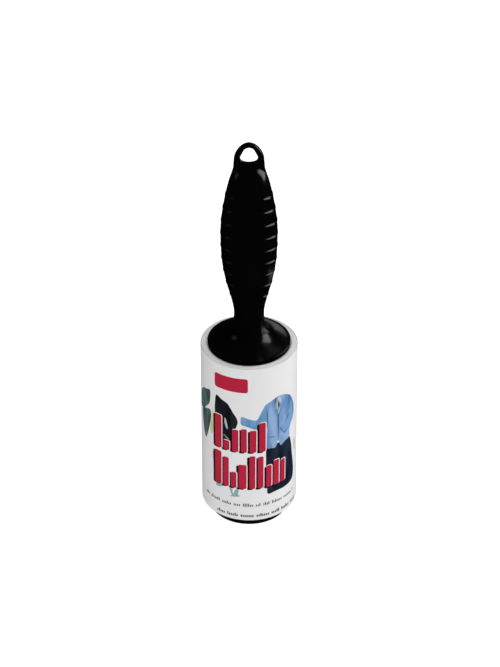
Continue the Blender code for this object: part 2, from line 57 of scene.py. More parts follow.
# Sizes taken from the frame
WRAPPER_LOW, WRAPPER_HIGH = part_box("wrapper")
ROLL_BOTTOM = WRAPPER_LOW.z
ROLL_TOP = WRAPPER_HIGH.z
WRAPPER_RADIUS = WRAPPER_HIGH.x
CORE_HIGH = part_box("core_tube")[1]
HANDLE_LOW, HANDLE_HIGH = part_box("handle_front_shell")

# Handle outline, as in the CAD: heights are above the top of the roll, half widths are along X
HANDLE_BOTTOM = HANDLE_LOW.z - ROLL_TOP
RIM_RADIUS = HANDLE_HIGH.x
RIM_EDGE = 0.35 * MM
RIM_LOWER_EDGE = 0.15 * MM
RIM_TOP = 2.3 * MM
RIM_LEDGE = 1.4 * MM
NECK_RADIUS = 8.05 * MM
NECK_HEIGHT = 19.5 * MM
FLARE_DECAY = 3.0 * MM
GRIP_OUTLINE = [
    (19.5 * MM, 8.05 * MM),
    (29.0 * MM, 9.5 * MM),
    (40.0 * MM, 12.3 * MM),
    (52.0 * MM, 14.32 * MM),
    (64.0 * MM, 15.0 * MM),
    (76.0 * MM, 14.83 * MM),
    (88.0 * MM, 13.3 * MM),
    (99.0 * MM, 11.1 * MM),
    (105.0 * MM, 9.45 * MM),
    (108.8 * MM, 8.38 * MM),
    (111.5 * MM, 8.12 * MM),
    (113.8 * MM, 7.95 * MM),
]
GRIP_DEPTH_RATIO = 0.9
GRIP_FULL_HEIGHT = 45.0 * MM
SHOULDER_HEIGHT = 100.0 * MM
SHOULDER_LENGTH = 10.8 * MM
SHOULDER_TAPER = 0.25
SHOULDER_POWER = 3
SHOULDER_BLEND = 0.7 * MM
LOOP_HALF_THICKNESS = 1.7 * MM
LOOP_CENTRE_HEIGHT = 113.8 * MM
LOOP_HALF_WIDTH = 7.95 * MM
LOOP_ARCH_HEIGHT = 10.1 * MM
LOOP_ARCH_POWER = 1.85
LOOP_EDGE_RADIUS = 1.5 * MM
LOOP_JOINT_HEIGHT = 110.2 * MM
LOOP_OUTLINE_START = 95 * MM
LOOP_FADE = 4 * MM
LOOP_ROW_GAP = 0.2 * MM
HOLE_BOTTOM = 112.35 * MM
HOLE_TOP = 121.1 * MM
HOLE_CORNER_OFFSET = 2.15 * MM
HOLE_CORNER_RADIUS = 2.4 * MM
HOLE_ARCH_RADIUS = 3.0 * MM
HOLE_BASE_RADIUS = 8.0 * MM
HOLE_CENTRE_HEIGHT = 116.2 * MM
PARTING_GAP = 0.16 * MM

# Grip ribs
RIB_COUNT = 9
RIB_PITCH = 7.6 * MM
FIRST_RIB_HEIGHT = 34.2 * MM
RIB_RISE = 0.6 * MM
RIB_SPREAD = 0.34 * MM
RIB_INNER_END = 5.4 * MM
RIB_FADE = 2.4 * MM
RIB_SIDE_SHARE = 0.4
RIB_SIDE_START = 0.86
RIB_SIDE_SPAN = 0.12
RIB_DROP = 2.2 * MM
RIB_START_TURN = math.radians(58)
RIB_ZONE_LOW = (24.0 * MM, 32.0 * MM)
RIB_ZONE_HIGH = (98.8 * MM, 102.5 * MM)

# Mesh densities
HANDLE_COLUMNS = 64
FLARE_ROWS = 56
FIRST_FLARE_ROW = 0.02 * MM
NECK_ROWS = 34
RIB_ROWS = (3.8, 2.9, 2.2, 1.7, 1.35, 1.1, 0.9, 0.72, 0.56, 0.4, 0.25, 0.12)
SHOULDER_ROWS = 50
SHOULDER_ROW_START = 0.5 * MM
LOOP_RINGS = 18
PAPER_SEGMENTS = 256

FRONT = -1
REAR = 1


# Mesh helpers

def finish_mesh(mesh, sharp_angle):
    mesh.shade_smooth()
    mesh.set_sharp_from_angle(angle=math.radians(sharp_angle))


def add_piece(name, mesh, material, body, replaces=(), sharp_angle=40):
    """Link a mesh as a piece that rides on a body, give it the material passed in, and hide the CAD nodes it
    replaces.
    """
    finish_mesh(mesh, sharp_angle)
    piece = bpy.data.objects.new(name, mesh)
    bpy.context.collection.objects.link(piece)
    mesh.materials.clear()
    mesh.materials.append(material)
    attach(piece, body)
    if replaces:
        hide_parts(*replaces)
    return piece


def mesh_from_bmesh(name, bm):
    bmesh.ops.recalc_face_normals(bm, faces=bm.faces)
    mesh = bpy.data.meshes.new(name)
    bm.to_mesh(mesh)
    bm.free()
    return mesh


def mesh_from_faces(name, points, faces):
    mesh = bpy.data.meshes.new(name)
    mesh.from_pydata([tuple(point) for point in points], [], faces)
    bm = bmesh.new()
    bm.from_mesh(mesh)
    bpy.data.meshes.remove(mesh)
    return mesh_from_bmesh(name, bm)


def turned_mesh(name, profile, segments):
    """Closed ring from a closed profile of (radius, height) points."""
    points = []
    for i in range(segments):
        angle = TAU * i / segments
        points += [(r * math.cos(angle), r * math.sin(angle), z) for r, z in profile]
    count = len(profile)
    faces = []
    for i in range(segments):
        here, there = i * count, (i + 1) % segments * count
        for j in range(count):
            k = (j + 1) % count
            faces.append((here + j, here + k, there + k, there + j))
    return mesh_from_faces(name, points, faces)


def arc(centre, radius, start, end, steps):
    """Points of an arc in a plane, from one angle in degrees to another."""
    angles = [math.radians(start + (end - start) * i / steps) for i in range(steps + 1)]
    return [(centre[0] + radius * math.cos(a), centre[1] + radius * math.sin(a)) for a in angles]


def smooth_step(value):
    value = min(max(value, 0.0), 1.0)
    return value * value * (3 - 2 * value)


def spline(points, at):
    """Smooth curve through (position, value) points, flat at its first point."""
    count = len(points)
    slopes = [0.0] * count
    for i in range(1, count):
        before = points[i - 1]
        after = points[min(i + 1, count - 1)]
        slopes[i] = (after[1] - before[1]) / (after[0] - before[0])
    for i in range(count - 1):
        (x0, y0), (x1, y1) = points[i], points[i + 1]
        if at <= x1 or i == count - 2:
            span = x1 - x0
            t = (at - x0) / span
            rise = (2 * t**3 - 3 * t**2 + 1) * y0 + (3 * t**2 - 2 * t**3) * y1
            bend = (t**3 - 2 * t**2 + t) * slopes[i] + (t**3 - t**2) * slopes[i + 1]
            return rise + bend * span
    return points[-1][1]


def rounded_max(first, second, reach):
    """The larger of two depths, with a fillet where they cross."""
    if reach <= 0:
        return max(first, second)
    overlap = max(reach - abs(first - second), 0.0)
    return max(first, second) + overlap**2 / (4 * reach)


# Materials

class Shader:
    """A Principled material and short calls for the nodes that give it grain and wear."""

    def __init__(self, name, colour, roughness, metallic=0.0, specular=0.5):
        self.material = bpy.data.materials.new(name)
        self.material.use_nodes = True
        self.nodes = self.material.node_tree.nodes
        self.links = self.material.node_tree.links
        self.principled = self.nodes["Principled BSDF"]
        self.place = None
        for socket, value in (("Base Color", (*colour, 1.0)), ("Roughness", roughness),
                              ("Metallic", metallic), ("Specular IOR Level", specular)):
            self.principled.inputs[socket].default_value = value

    def node(self, kind, **settings):
        made = self.nodes.new(kind)
        for key, value in settings.items():
            setattr(made, key, value)
        return made

    def coordinates(self, scale=(1, 1, 1)):
        """Object coordinates, stretched by a scale."""
        if self.place is None:
            self.place = self.node("ShaderNodeTexCoord")
        mapping = self.node("ShaderNodeMapping")
        mapping.inputs["Scale"].default_value = scale
        self.links.new(self.place.outputs["Object"], mapping.inputs["Vector"])
        return mapping.outputs["Vector"]

    def noise(self, scale, detail=2.0, stretch=(1, 1, 1)):
        """Noise whose scale is the number of features in a metre."""
        made = self.node("ShaderNodeTexNoise")
        made.inputs["Scale"].default_value = scale
        made.inputs["Detail"].default_value = detail
        self.links.new(self.coordinates(stretch), made.inputs["Vector"])
        return made.outputs["Fac"]

    def remap(self, value, low, high):
        made = self.node("ShaderNodeMapRange")
        made.inputs["To Min"].default_value = low
        made.inputs["To Max"].default_value = high
        self.links.new(value, made.inputs["Value"])
        return made.outputs["Result"]

    def blend(self, value, first, second):
        made = self.node("ShaderNodeMix", data_type="RGBA")
        made.inputs["A"].default_value = (*first, 1.0)
        made.inputs["B"].default_value = (*second, 1.0)
        self.links.new(value, made.inputs["Factor"])
        return made.outputs["Result"]

    def bump(self, value, height, strength=1.0):
        """Add a bump of a real height under any bump already there."""
        made = self.node("ShaderNodeBump")
        made.inputs["Strength"].default_value = strength
        made.inputs["Distance"].default_value = height
        self.links.new(value, made.inputs["Height"])
        normal = self.principled.inputs["Normal"]
        if normal.is_linked:
            self.links.new(normal.links[0].from_socket, made.inputs["Normal"])
        self.links.new(made.outputs["Normal"], normal)

    def drive(self, socket, value):
        self.links.new(value, self.principled.inputs[socket])


def glossy_black(name, colour, roughness, specular):
    """Polished black moulding with faint handling smears and a slight moulded waviness."""
    shader = Shader(name, colour, roughness, specular=specular)
    smears = shader.noise(120, 4.0, (1, 1, 0.35))
    shader.drive("Roughness", shader.remap(smears, roughness * 0.8, roughness * 1.25))
    shader.bump(shader.noise(160, 1.0), 0.02 * MM)
    shader.bump(shader.noise(4000, 2.0), 0.0015 * MM)
    return shader.material


def natural_plastic():
    shader = Shader("natural_acetal", (0.74, 0.72, 0.66), 0.42, specular=0.5)
    shader.drive("Base Color", shader.blend(shader.noise(300, 3.0), (0.7, 0.68, 0.61), (0.8, 0.79, 0.74)))
    shader.bump(shader.noise(2500, 2.0), 0.004 * MM)
    return shader.material


def spring_steel():
    shader = Shader("spring_steel", (0.55, 0.56, 0.58), 0.3, metallic=1.0)
    shader.drive("Roughness", shader.remap(shader.noise(2500, 3.0, (1, 0.05, 1)), 0.2, 0.45))
    shader.bump(shader.noise(4000, 2.0, (1, 0.04, 1)), 0.004 * MM)
    return shader.material


def core_board():
    """Pale grey board with fibres that run along the spiral wind."""
    shader = Shader("core_board", (0.6, 0.59, 0.57), 0.88, specular=0.3)
    fibres = shader.noise(900, 5.0, (1, 1, 0.3))
    shader.drive("Base Color", shader.blend(fibres, (0.5, 0.49, 0.47), (0.66, 0.65, 0.63)))
    shader.bump(fibres, 0.05 * MM)
    return shader.material


def wound_edge():
    """Edges of many wound turns of coated paper: fine rings, greyer where the glue shows."""
    shader = Shader("wound_paper_edge", (0.8, 0.8, 0.79), 0.62, specular=0.4)
    blotches = shader.noise(160, 4.0)
    shader.drive("Base Color", shader.blend(blotches, (0.72, 0.72, 0.71), (0.86, 0.86, 0.85)))
    rings = shader.node("ShaderNodeTexWave", wave_type="RINGS", rings_direction="Z")
    rings.inputs["Scale"].default_value = 900
    rings.inputs["Distortion"].default_value = 1.5
    rings.inputs["Detail"].default_value = 3.0
    shader.links.new(shader.coordinates((1, 1, 0)), rings.inputs["Vector"])
    shader.bump(rings.outputs["Fac"], 0.03 * MM)
    return shader.material


def coated_paper(name, colour, roughness=0.38, specular=0.5):
    """Smooth coated paper, with a faint mottle and slight waviness."""
    shader = Shader(name, colour, roughness, specular=specular)
    darker = tuple(0.93 * c for c in colour)
    shader.drive("Base Color", shader.blend(shader.noise(90, 5.0), darker, colour))
    shader.drive("Roughness", shader.remap(shader.noise(700, 3.0), roughness * 0.9, roughness * 1.15))
    shader.bump(shader.noise(60, 2.0, (1, 1, 0.4)), 0.05 * MM)
    shader.bump(shader.noise(5000, 3.0), 0.002 * MM)
    return shader.material


# Handle

def half_width(height):
    """Half width of the handle along X, without ribs, above the rim."""
    if height <= LOOP_CENTRE_HEIGHT:
        base = spline(GRIP_OUTLINE, height) if height > NECK_HEIGHT else NECK_RADIUS
        reach = RIM_RADIUS - RIM_EDGE - RIM_LEDGE - NECK_RADIUS
        return base + reach * math.exp((RIM_TOP - height) / FLARE_DECAY)
    level = (height - LOOP_CENTRE_HEIGHT) / LOOP_ARCH_HEIGHT
    return LOOP_HALF_WIDTH * max(1 - level**LOOP_ARCH_POWER, 0.0) ** (1 / LOOP_ARCH_POWER)


def grip_depth(height):
    """Half depth of the neck and grip along Y: round at the neck, flatter at the grip."""
    share = smooth_step((height - NECK_HEIGHT) / (GRIP_FULL_HEIGHT - NECK_HEIGHT))
    return half_width(height) * (1 + (GRIP_DEPTH_RATIO - 1) * share)


def body_rows():
    """(height, half width) of the handle's rows, from the rim's lower edge to the loop's joint."""
    low_edge = RIM_LOWER_EDGE
    rim_low = arc((RIM_RADIUS - low_edge, HANDLE_BOTTOM + low_edge), low_edge, -90, 0, 3)
    rim_high = arc((RIM_RADIUS - RIM_EDGE, RIM_TOP - RIM_EDGE), RIM_EDGE, 0, 75, 5)
    ledge = [(RIM_RADIUS - RIM_EDGE - RIM_LEDGE * step, RIM_TOP) for step in (0.08, 0.5, 0.92)]
    rows = [(height, radius) for radius, height in rim_low + rim_high + ledge]
    flare = NECK_HEIGHT - RIM_TOP
    heights = [RIM_TOP + FIRST_FLARE_ROW + flare * (i / FLARE_ROWS) ** 2 for i in range(FLARE_ROWS + 1)]
    first_fine = FIRST_RIB_HEIGHT - RIB_PITCH / 2
    heights += [heights[-1] + (first_fine - heights[-1]) * i / NECK_ROWS for i in range(1, NECK_ROWS)]
    offsets = [-step * MM for step in RIB_ROWS] + [0.0] + [step * MM for step in reversed(RIB_ROWS[1:])]
    heights += [FIRST_RIB_HEIGHT + RIB_PITCH * i + step for i in range(RIB_COUNT) for step in offsets]
    start = heights[-1] + SHOULDER_ROW_START
    heights += [start + (LOOP_JOINT_HEIGHT - start) * i / SHOULDER_ROWS for i in range(SHOULDER_ROWS + 1)]
    return rows + [(height, half_width(height)) for height in heights]


def rib_drop(across, height):
    """How far a row of the grip comes down on its way round the sides, as the ribs do."""
    zone = (smooth_step((height - RIB_ZONE_LOW[0]) / (RIB_ZONE_LOW[1] - RIB_ZONE_LOW[0]))
            * smooth_step((RIB_ZONE_HIGH[1] - height) / (RIB_ZONE_HIGH[1] - RIB_ZONE_HIGH[0])))
    course = max(1 - math.acos(min(abs(across), 1.0)) / RIB_START_TURN, 0.0)
    return RIB_DROP * zone * course


def rib_rise(x, height, across):
    """How far a grip rib stands out: a narrow bead on each side that fades towards the middle."""
    nearest = round((height - FIRST_RIB_HEIGHT) / RIB_PITCH)
    nearest = min(max(nearest, 0), RIB_COUNT - 1)
    offset = (height - FIRST_RIB_HEIGHT - nearest * RIB_PITCH) / RIB_SPREAD
    crest = math.exp(-offset**2 / 2)
    side = 1 - (1 - RIB_SIDE_SHARE) * smooth_step((abs(across) - RIB_SIDE_START) / RIB_SIDE_SPAN)
    return RIB_RISE * crest * side * smooth_step((abs(x) - RIB_INNER_END) / RIB_FADE)


def hole_outline(steps=24):
    """Rounded-triangle hole of the hanging loop, as tangent arcs of (x, height) points."""
    base_rise = math.sqrt((HOLE_BASE_RADIUS - HOLE_CORNER_RADIUS) ** 2 - HOLE_CORNER_OFFSET**2)
    low = HOLE_BOTTOM + HOLE_BASE_RADIUS - base_rise
    high = HOLE_TOP - HOLE_ARCH_RADIUS
    apart = math.hypot(HOLE_CORNER_OFFSET, high - low)
    lean = math.degrees(math.atan2(HOLE_CORNER_OFFSET, high - low)
                        + math.asin((HOLE_CORNER_RADIUS - HOLE_ARCH_RADIUS) / apart))
    turn = math.degrees(math.atan2(base_rise, HOLE_CORNER_OFFSET))
    outline = arc((HOLE_CORNER_OFFSET, low), HOLE_CORNER_RADIUS, -turn, lean, steps)
    outline += arc((0, high), HOLE_ARCH_RADIUS, lean, 180 - lean, steps)
    outline += arc((-HOLE_CORNER_OFFSET, low), HOLE_CORNER_RADIUS, 180 - lean, 180 + turn, steps)
    outline += arc((0, low + base_rise), HOLE_BASE_RADIUS, 180 + turn, 360 - turn, steps)[1:-1]
    return np.array(outline)


def loop_outline():
    """Outer outline of the shoulders and loop as (x, height) points, from right to left."""
    straight = np.linspace(LOOP_OUTLINE_START, LOOP_CENTRE_HEIGHT, 80)
    arch = LOOP_CENTRE_HEIGHT + LOOP_ARCH_HEIGHT * np.sin(np.radians(np.linspace(0, 90, 120)))[1:]
    right = [(half_width(h), h) for h in [*straight, *arch]]
    left = [(-x, h) for x, h in reversed(right[:-1])]
    return np.array(right + left)


def distance_to(points, outline, closed):
    """Distance of each point to a polyline."""
    starts = outline
    ends = np.roll(outline, -1, axis=0)
    if not closed:
        starts, ends = starts[:-1], ends[:-1]
    run = ends - starts
    length = np.maximum((run**2).sum(axis=1), 1e-18)
    away = points[:, None, :] - starts[None]
    share = np.clip((away * run).sum(axis=2) / length, 0, 1)
    gap = away - share[..., None] * run
    return np.sqrt((gap**2).sum(axis=2)).min(axis=1)


def edge_profile(distance):
    """Rounding of the loop's edges: 0 at the edge and 1 beyond the edge radius."""
    inside = np.clip(distance / LOOP_EDGE_RADIUS, 0, 1)
    return np.sqrt(1 - (1 - inside) ** 2)


def dome_depth(x, height):
    """Half depth of the dome that ends the grip, narrowing under the hanging loop."""
    rise = height - SHOULDER_HEIGHT
    level = min(rise / SHOULDER_LENGTH, 1.0)
    closing = (1 - level**SHOULDER_POWER) ** (1 / SHOULDER_POWER)
    start = half_width(SHOULDER_HEIGHT)
    width = (start - SHOULDER_TAPER * rise) * closing
    if abs(x) >= width:
        return 0.0
    return grip_depth(SHOULDER_HEIGHT) / start * math.sqrt(width**2 - x**2)


def loop_depths(places):
    """Half depth of the shoulders and the flat loop at (x, height) places."""
    places = np.array(places)
    outer = edge_profile(distance_to(places, loop_outline(), closed=False))
    inner = edge_profile(distance_to(places, hole_outline(), closed=True))
    flat = LOOP_HALF_THICKNESS * outer * inner
    depths = []
    for (x, height), thin in zip(places, flat):
        fade = smooth_step((height - SHOULDER_HEIGHT) / LOOP_FADE)
        depths.append(rounded_max(dome_depth(x, height), thin * fade, min(SHOULDER_BLEND, thin * fade)))
    return depths


def handle_surface(side):
    """Vertices and faces of one closed half of the handle."""
    points, faces = [], []
    rows = body_rows()
    columns = HANDLE_COLUMNS
    row_length = columns + 1
    turns = [(math.cos(math.pi * k / columns), math.sin(math.pi * k / columns)) for k in range(row_length)]
    places = []
    for height, width in rows:
        for across, bulge in turns:
            level = height - rib_drop(across, height)
            wide = half_width(level) if height > NECK_HEIGHT else width
            places.append((height, level, across, bulge, wide * across, wide))
    high = [(x, level) for _, level, _, _, x, _ in places if level > SHOULDER_HEIGHT]
    high_depths = iter(loop_depths(high))
    for height, level, across, bulge, x, wide in places:
        if level > SHOULDER_HEIGHT:
            depth = next(high_depths)
        else:
            depth = (grip_depth(level) if level > NECK_HEIGHT else wide) * bulge
        swell = 1 + rib_rise(x, height, across) / math.hypot(x, max(depth, 1e-6))
        points.append((x * swell, side * (PARTING_GAP / 2 + depth * swell), ROLL_TOP + level))
    for i in range(len(rows) - 1):
        low, high = i * row_length, (i + 1) * row_length
        for k in range(columns):
            faces.append((low + k, low + k + 1, high + k + 1, high + k))
        faces.append((low, high, high + columns, low + columns))
    faces.append(tuple(range(row_length)))
    joint = (len(rows) - 1) * row_length
    add_loop(points, faces, joint, side)
    return points, faces


def add_loop(points, faces, joint, side):
    """Add the flat loop: rings of points between the hole and the outline, above the joint row."""
    columns = HANDLE_COLUMNS
    joint_width = half_width(LOOP_JOINT_HEIGHT)
    outline = loop_outline()
    arch = outline[outline[:, 1] > LOOP_JOINT_HEIGHT + LOOP_ROW_GAP][::2]
    joint_row = [(joint_width * math.cos(math.pi * k / columns), LOOP_JOINT_HEIGHT)
                 for k in range(columns + 1)]
    outer = np.array([*joint_row[::-1], *arch])
    centre = np.array((0.0, HOLE_CENTRE_HEIGHT))
    inner = np.array([ray_to_hole(centre, target) for target in outer])
    count = len(outer)
    shares = [(1 - math.cos(math.pi * j / LOOP_RINGS)) / 2 for j in range(LOOP_RINGS + 1)]
    places = [inner[i] + (outer[i] - inner[i]) * share for share in shares for i in range(count)]
    depths = loop_depths(places)
    index = {}
    for j in range(LOOP_RINGS + 1):
        for i in range(count):
            if j == LOOP_RINGS and i <= columns:
                index[j, i] = joint + columns - i
                continue
            x, height = places[j * count + i]
            index[j, i] = len(points)
            points.append((x, side * (PARTING_GAP / 2 + depths[j * count + i]), ROLL_TOP + height))
    for j in range(LOOP_RINGS):
        for i in range(count):
            n = (i + 1) % count
            faces.append((index[j, i], index[j, n], index[j + 1, n], index[j + 1, i]))
    for i in range(columns, count):
        n = (i + 1) % count
        faces.append((index[0, i], index[0, n], index[LOOP_RINGS, n], index[LOOP_RINGS, i]))
    fan = [index[0, i] for i in range(columns + 1)]
    faces.append((joint + columns, *fan, joint))


def ray_to_hole(centre, target):
    """Where the line from the hole's centre to a target crosses the hole's outline."""
    outline = hole_outline()
    direction = target - centre
    angle = math.atan2(direction[1], direction[0])
    angles = np.arctan2(outline[:, 1] - centre[1], outline[:, 0] - centre[0])
    turned = (angles - angle + math.pi) % TAU - math.pi
    after = np.argmin(np.where(turned >= 0, turned, TAU))
    before = np.argmax(np.where(turned < 0, turned, -TAU))
    share = -turned[before] / (turned[after] - turned[before])
    return outline[before] + (outline[after] - outline[before]) * share


def build_handle_half(name, side, node, material):
    mesh = mesh_from_faces(name, *handle_surface(side))
    return add_piece(name, mesh, material, "handle", (node,), sharp_angle=50)


def build_handle(material):
    build_handle_half("handle_front_half", FRONT, "handle_front_shell", material)
    build_handle_half("handle_rear_half", REAR, "handle_rear_shell", material)


# Foot of the roller

CAP_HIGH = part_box("hub_end_cap")[1]
CAP_SEAT = 0.6 * MM
CAP_EDGE = 0.3 * MM
CAP_FINE_EDGE = 0.2 * MM
CAP_RECESS_RADIUS = 14.0 * MM
CAP_RECESS_DEPTH = 0.8 * MM
CAP_FLOOR = 2.6 * MM
CAP_PLUG_RADIUS = 18.7 * MM
CAP_PLUG_WALL = 1.4 * MM
CAP_WELD = 0.001 * MM


def build_end_cap(material):
    """Moulded foot with softened edges, a recess below and a plug that goes up into the hub."""
    fine = CAP_FINE_EDGE
    seat = ROLL_BOTTOM - CAP_SEAT
    plug_inner = CAP_PLUG_RADIUS - CAP_PLUG_WALL
    recess_edge = CAP_RECESS_RADIUS + CAP_RECESS_DEPTH + fine / 2
    profile = [(0.0, CAP_RECESS_DEPTH), (CAP_RECESS_RADIUS, CAP_RECESS_DEPTH)]
    profile += arc((recess_edge, fine), fine, -135, -90, 4)
    profile += arc((CAP_HIGH.x - CAP_EDGE, CAP_EDGE), CAP_EDGE, -90, 0, 8)
    profile += arc((CAP_HIGH.x - fine, seat - fine), fine, 0, 90, 4)
    profile += [(CAP_PLUG_RADIUS, seat)]
    profile += arc((CAP_PLUG_RADIUS - fine, CAP_HIGH.z - fine), fine, 0, 90, 4)
    profile += arc((plug_inner + fine, CAP_HIGH.z - fine), fine, 90, 180, 4)
    profile += [(plug_inner, CAP_FLOOR), (0.0, CAP_FLOOR)]
    mesh = turned_mesh("end_cap", profile, PAPER_SEGMENTS)
    bm = bmesh.new()
    bm.from_mesh(mesh)
    bmesh.ops.remove_doubles(bm, verts=bm.verts, dist=CAP_WELD)
    loose = [edge for edge in bm.edges if not edge.link_faces]
    bmesh.ops.delete(bm, geom=loose, context="EDGES")
    bmesh.ops.recalc_face_normals(bm, faces=bm.faces)
    bm.to_mesh(mesh)
    bm.free()
    add_piece("end_cap", mesh, material, "hub", ("hub_end_cap",), 50)


# Roll of adhesive sheets

CORE_WALL = 1.1 * MM
CORE_SHORT = 0.1 * MM
CORE_EDGE = 0.2 * MM
CORE_PLY_GAP = 0.03 * MM
CORE_PLY_STEPS = (0.0, 0.06 * MM, 0.02 * MM, 0.09 * MM)
SEAM_ANGLE = math.radians(-18)
SLEEVE_PAPER = 0.14 * MM
SLEEVE_LAP = 7 * MM
ADHESIVE_INNER = CORE_HIGH.x + 0.05 * MM
ADHESIVE_OUTER = WRAPPER_RADIUS - 2 * SLEEVE_PAPER - 0.04 * MM
WINDINGS = 30
WINDING_UNEVENNESS = 0.12
WINDING_GAP = 0.05
SLEEVE_EDGE = 0.04 * MM
SLEEVE_BLEND = 4 * MM


def build_core_tube(material):
    """Cardboard tube with softened edges and a few low plies showing at its ends."""
    inner, outer = CORE_HIGH.x - CORE_WALL, CORE_HIGH.x
    low, high = ROLL_BOTTOM + CORE_SHORT, CORE_HIGH.z
    plies = len(CORE_PLY_STEPS)
    ply = CORE_WALL / plies
    upper, lower = [], []
    for i in range(plies):
        left = inner + ply * i + CORE_PLY_GAP
        right = inner + ply * (i + 1) - CORE_PLY_GAP
        drop = CORE_PLY_STEPS[i]
        rise = CORE_PLY_STEPS[(i + 2) % plies]
        upper += [(left, high - drop), (right, high - drop)]
        lower = [(right, low + rise), (left, low + rise)] + lower
    outside = [(outer, high - CORE_EDGE), (outer, low + CORE_EDGE)]
    inside = [(inner, low + CORE_EDGE), (inner, high - CORE_EDGE)]
    mesh = turned_mesh("cardboard_core", upper + outside + lower + inside, PAPER_SEGMENTS)
    add_piece("cardboard_core", mesh, material, "tape_roll", ("core_tube",), 50)


def build_adhesive_roll(material):
    """Wound sheets whose edges stand a little above or below each other at both ends."""
    dice = random.Random(7)
    step = (ADHESIVE_OUTER - ADHESIVE_INNER) / WINDINGS
    top, bottom = [], []
    for i in range(WINDINGS):
        radius = ADHESIVE_INNER + step * i
        left, right = radius + WINDING_GAP * step, radius + (1 - WINDING_GAP) * step
        lift = dice.uniform(-WINDING_UNEVENNESS, 0.0) * MM
        top += [(left, ROLL_TOP + lift), (right, ROLL_TOP + lift)]
        bottom += [(left, ROLL_BOTTOM - lift), (right, ROLL_BOTTOM - lift)]
    mesh = turned_mesh("adhesive_sheets", top + bottom[::-1], PAPER_SEGMENTS)
    add_piece("adhesive_sheets", mesh, material, "tape_roll", ("adhesive_roll",), 50)


def sleeve_radius(turn):
    """Outer radius of the paper sleeve at a place along its wind, in metres past its outer end."""
    lap = turn - TAU * WRAPPER_RADIUS + SLEEVE_BLEND
    return WRAPPER_RADIUS - SLEEVE_PAPER * smooth_step(lap / SLEEVE_BLEND)


def build_sleeve(material):
    """Printed paper sleeve, glued where its outer end laps over its inner end."""
    length = TAU * WRAPPER_RADIUS + SLEEVE_LAP
    steps = PAPER_SEGMENTS + 12
    edge = SLEEVE_EDGE
    low, high = ROLL_BOTTOM, ROLL_TOP
    points, faces = [], []
    for i in range(steps + 1):
        along = length * i / steps
        angle = SEAM_ANGLE - along / WRAPPER_RADIUS
        outer = sleeve_radius(along)
        inner = outer - SLEEVE_PAPER
        section = [(inner, low + edge), (inner + edge, low), (outer - edge, low), (outer, low + edge),
                   (outer, high - edge), (outer - edge, high), (inner + edge, high), (inner, high - edge)]
        points += [(r * math.cos(angle), r * math.sin(angle), z) for r, z in section]
    count = 8
    for i in range(steps):
        for j in range(count):
            k = (j + 1) % count
            faces.append((i * count + j, i * count + k, (i + 1) * count + k, (i + 1) * count + j))
    faces.append(tuple(range(count)))
    faces.append(tuple(range(steps * count, (steps + 1) * count)))
    mesh = mesh_from_faces("paper_sleeve", points, faces)
    add_piece("paper_sleeve", mesh, material, "tape_roll", ("wrapper",), 40)


# Print on the sleeve

INK_THICKNESS = 0.008 * MM
INK_STRIP = 1.0 * MM
INK_LIFT = 0.002 * MM
BAR_CORNER = 0.9
BAR_EDGE_CORNER = 1.0
TICK_GAP = 0.38
WORD_GAP = 1.3


def closed_curve(points, steps=6):
    """Smooth closed curve through (across, up) points."""
    curve = []
    count = len(points)
    for i in range(count):
        before, start, end, after = (np.array(points[(i + j - 1) % count], float) for j in range(4))
        for k in range(steps):
            t = k / steps
            curve.append(0.5 * (2 * start + (end - before) * t
                                + (2 * before - 5 * start + 4 * end - after) * t**2
                                + (3 * start - before - 3 * end + after) * t**3))
    return [tuple(point) for point in curve]


def rounded_box(left, low, right, high, radius, steps=5):
    """Rounded rectangle as (across, up) points."""
    corners = [((right - radius, low + radius), -90), ((right - radius, high - radius), 0),
               ((left + radius, high - radius), 90), ((left + radius, low + radius), 180)]
    return [point for centre, start in corners for point in arc(centre, radius, start, start + 90, steps)]


def print_ink(name, outlines, layer, material):
    """Print closed outlines, in millimetres on the sleeve, as one thin layer of ink."""
    bm = bmesh.new()
    for outline in outlines:
        verts = [bm.verts.new((across * MM, up * MM, 0)) for across, up in outline]
        bm.faces.new(verts)
    bmesh.ops.triangulate(bm, faces=bm.faces)
    widest = max(abs(vert.co.x) for vert in bm.verts)
    strips = int(widest / INK_STRIP) + 1
    for i in range(-strips, strips + 1):
        geometry = list(bm.verts) + list(bm.edges) + list(bm.faces)
        place = (i * INK_STRIP, 0, 0)
        bmesh.ops.bisect_plane(bm, geom=geometry, dist=1e-7, plane_co=place, plane_no=(1, 0, 0))
    made = bmesh.ops.extrude_face_region(bm, geom=list(bm.faces), use_keep_orig=True)
    lifted = {item for item in made["geom"] if isinstance(item, bmesh.types.BMVert)}
    base = WRAPPER_RADIUS + INK_LIFT
    for vert in bm.verts:
        radius = base + (INK_THICKNESS * (layer + 1) if vert in lifted else 0.0)
        angle = vert.co.x / WRAPPER_RADIUS
        vert.co = (radius * math.sin(angle), -radius * math.cos(angle), ROLL_BOTTOM + vert.co.y)
    mesh = mesh_from_bmesh(name, bm)
    return add_piece(name, mesh, material, "tape_roll", sharp_angle=60)


def cloth_ink(name, shade, light, folds=170):
    """Ink of printed cloth: two tones in soft upright folds."""
    shader = Shader(name, light, 0.42, specular=0.25)
    creases = shader.noise(folds, 3.0, (1, 1, 0.28))
    contrast = shader.node("ShaderNodeMapRange", interpolation_type="SMOOTHSTEP")
    contrast.inputs["From Min"].default_value = 0.36
    contrast.inputs["From Max"].default_value = 0.64
    shader.links.new(creases, contrast.inputs["Value"])
    shader.drive("Base Color", shader.blend(contrast.outputs["Result"], shade, light))
    shader.drive("Roughness", shader.remap(shader.noise(700, 3.0), 0.38, 0.48))
    shader.bump(shader.noise(5000, 3.0), 0.002 * MM)
    return shader.material


